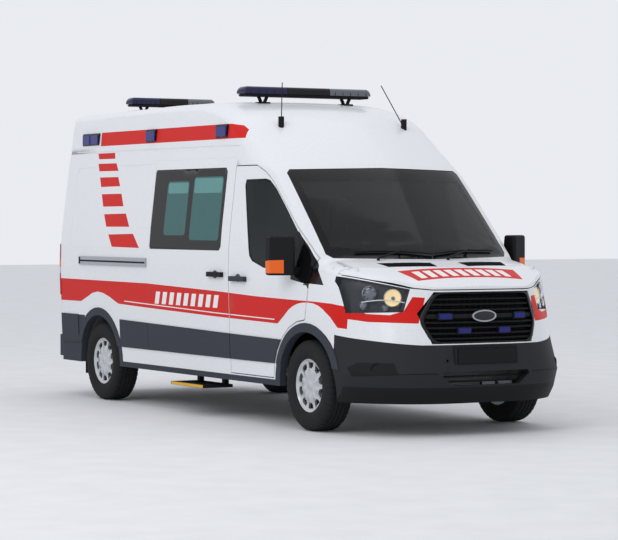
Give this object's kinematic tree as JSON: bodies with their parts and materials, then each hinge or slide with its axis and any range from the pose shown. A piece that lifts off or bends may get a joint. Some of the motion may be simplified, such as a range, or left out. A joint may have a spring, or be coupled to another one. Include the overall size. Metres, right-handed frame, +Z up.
{
  "type": "ambulance",
  "caption": "White high-roof van ambulance with red stripes, blue roof lights, hinged front and rear doors, opening bonnet, steered front wheels and hollow cab and load space.",
  "frame": {"origin": "on the ground under the middle of the overall box", "axes": "+X forward along the van, +Y to its left, +Z up"},
  "size_m": [5.853, 2.392, 2.763],
  "materials": {
    "white_paint": "gloss white paint",
    "black_plastic": "grained black plastic",
    "grey_plastic": "slate grey grained plastic",
    "lamp_lens": "clear moulded lens",
    "clear_glass": "clear tinted glass",
    "dark_glass": "dark frosted glass",
    "underbody_grey": "matt grey coating",
    "cabin_grey": "light grey panel",
    "dash_plastic": "dark grey plastic",
    "seat_fabric": "dark woven fabric",
    "engine_iron": "plain cast block",
    "chassis_steel": "black chassis paint",
    "exhaust_steel": "dull steel",
    "rail_silver": "satin aluminium",
    "flap_rubber": "black rubber",
    "red_lens": "red lamp lens",
    "blue_lens": "dark blue lamp lens",
    "plate_white": "blank white plate",
    "tyre": "black tyre rubber",
    "rim_silver": "silver painted wheel"
  },
  "bodies": {
    "body": {"front_bumper": "white_paint", "grille": "black_plastic", "front_wings": "white_paint", "headlamps": "lamp_lens", "cowl": "white_paint", "windscreen": "clear_glass", "roof": "white_paint", "body_side_right": "white_paint", "body_side_left": "white_paint", "floor": "underbody_grey", "bulkhead": "cabin_grey", "dashboard": "dash_plastic", "cab_seats": "seat_fabric", "engine": "engine_iron", "front_suspension": "chassis_steel", "rear_axle": "chassis_steel", "exhaust": "exhaust_steel", "sliding_door": "white_paint", "side_windows": "dark_glass", "slide_rail": "rail_silver", "sliding_door_handle": "grey_plastic", "side_mouldings": "grey_plastic", "side_step": "chassis_steel", "mudflaps": "flap_rubber", "rear_bumper": "grey_plastic", "tail_lamps": "red_lens", "lightbar_front": "blue_lens", "lightbar_rear": "blue_lens", "marker_lights": "blue_lens", "antennas": "black_plastic", "number_plate": "plate_white"},
    "bonnet": {"hood": "white_paint"},
    "front_door_right": {"front_door_right": "white_paint", "front_door_glass_right": "clear_glass", "mirror_right": "black_plastic", "front_door_trim_right": "grey_plastic"},
    "front_door_left": {"front_door_left": "white_paint", "front_door_glass_left": "clear_glass", "mirror_left": "black_plastic", "front_door_trim_left": "grey_plastic"},
    "rear_door_right": {"rear_door_right": "white_paint", "rear_door_glass_right": "dark_glass"},
    "rear_door_left": {"rear_door_left": "white_paint", "rear_door_glass_left": "dark_glass", "rear_door_handle": "grey_plastic"},
    "knuckle_right": {"knuckle_right": "chassis_steel"},
    "knuckle_left": {"knuckle_left": "chassis_steel"},
    "steering_wheel": {"steering_wheel": "black_plastic"},
    "wheel_front_right": {"tyre_front_right": "tyre", "rim_front_right": "rim_silver"},
    "wheel_front_left": {"tyre_front_left": "tyre", "rim_front_left": "rim_silver"},
    "wheel_rear_right": {"tyre_rear_right": "tyre", "rim_rear_right": "rim_silver"},
    "wheel_rear_left": {"tyre_rear_left": "tyre", "rim_rear_left": "rim_silver"}
  },
  "joints": [
    {"name": "hood_hinge", "type": "hinge", "parent": "body", "child": "bonnet", "pos_m": [2.1435, 0, 1.258], "axis": [0, -1, 0], "range_deg": [0, 50]},
    {"name": "front_door_right_hinge", "type": "hinge", "parent": "body", "child": "front_door_right", "pos_m": [1.8195, -0.968, 1.04], "axis": [0, 0, 1], "range_deg": [0, 70]},
    {"name": "front_door_left_hinge", "type": "hinge", "parent": "body", "child": "front_door_left", "pos_m": [1.8195, 0.968, 1.04], "axis": [0, 0, -1], "range_deg": [0, 70]},
    {"name": "rear_door_right_hinge", "type": "hinge", "parent": "body", "child": "rear_door_right", "pos_m": [-2.7675, -0.84, 1.33], "axis": [0, 0, 1], "range_deg": [0, 170]},
    {"name": "rear_door_left_hinge", "type": "hinge", "parent": "body", "child": "rear_door_left", "pos_m": [-2.7675, 0.84, 1.33], "axis": [0, 0, -1], "range_deg": [0, 170]},
    {"name": "steer_right", "type": "hinge", "parent": "body", "child": "knuckle_right", "pos_m": [1.9035, -0.785, 0.352], "axis": [0, 0, 1], "range_deg": [-35, 35]},
    {"name": "steer_left", "type": "hinge", "parent": "body", "child": "knuckle_left", "pos_m": [1.9035, 0.785, 0.352], "axis": [0, 0, 1], "range_deg": [-35, 35]},
    {"name": "steering_wheel_turn", "type": "hinge", "parent": "body", "child": "steering_wheel", "pos_m": [1.4635, 0.42, 1.152], "axis": [-0.6691, 0, 0.7431], "range_deg": [-525, 525]},
    {"name": "wheel_front_right_spin", "type": "hinge", "parent": "knuckle_right", "child": "wheel_front_right", "pos_m": [1.9035, -0.873, 0.352], "axis": [0, 1, 0], "continuous": true},
    {"name": "wheel_front_left_spin", "type": "hinge", "parent": "knuckle_left", "child": "wheel_front_left", "pos_m": [1.9035, 0.873, 0.352], "axis": [0, 1, 0], "continuous": true},
    {"name": "wheel_rear_right_spin", "type": "hinge", "parent": "body", "child": "wheel_rear_right", "pos_m": [-1.8465, -0.873, 0.352], "axis": [0, 1, 0], "continuous": true},
    {"name": "wheel_rear_left_spin", "type": "hinge", "parent": "body", "child": "wheel_rear_left", "pos_m": [-1.8465, 0.873, 0.352], "axis": [0, 1, 0], "continuous": true}
  ],
  "couplings": [
    {"joint": "steer_left", "follows": "steer_right", "ratio": 1},
    {"joint": "steering_wheel_turn", "follows": "steer_right", "ratio": 15}
  ]
}
